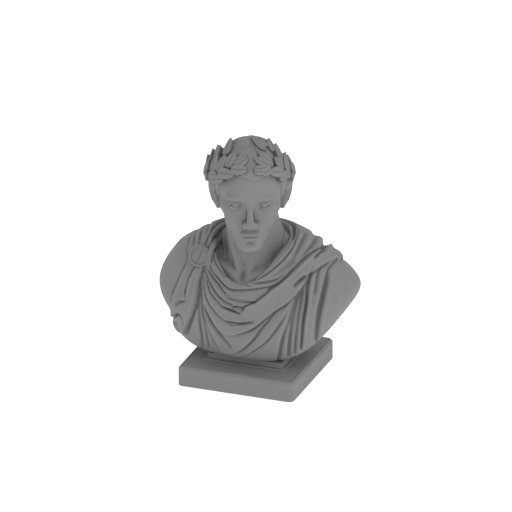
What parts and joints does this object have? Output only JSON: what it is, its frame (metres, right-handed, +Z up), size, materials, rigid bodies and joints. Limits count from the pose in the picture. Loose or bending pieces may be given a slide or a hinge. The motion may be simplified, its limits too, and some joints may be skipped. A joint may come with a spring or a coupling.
{
  "type": "laurel-crowned roman emperor bust",
  "caption": "Carved stone bust of a laurel-crowned ruler in a draped cloak pinned by a round brooch, on a stepped square plinth.",
  "frame": {"origin": "centre of the plinth's underside, on the surface it stands on", "axes": "+Z up, the chest and the plinth's front face -Y, +X is the viewer's right; the head is turned 20 degrees towards +X"},
  "size_m": [0.4654, 0.27, 0.5788],
  "materials": {
    "bust_stone": "fine matte grey stone",
    "plinth_stone": "fine matte grey stone"
  },
  "bodies": {
    "root": {"bust": "bust_stone", "plinth": "plinth_stone"}
  },
  "joints": []
}
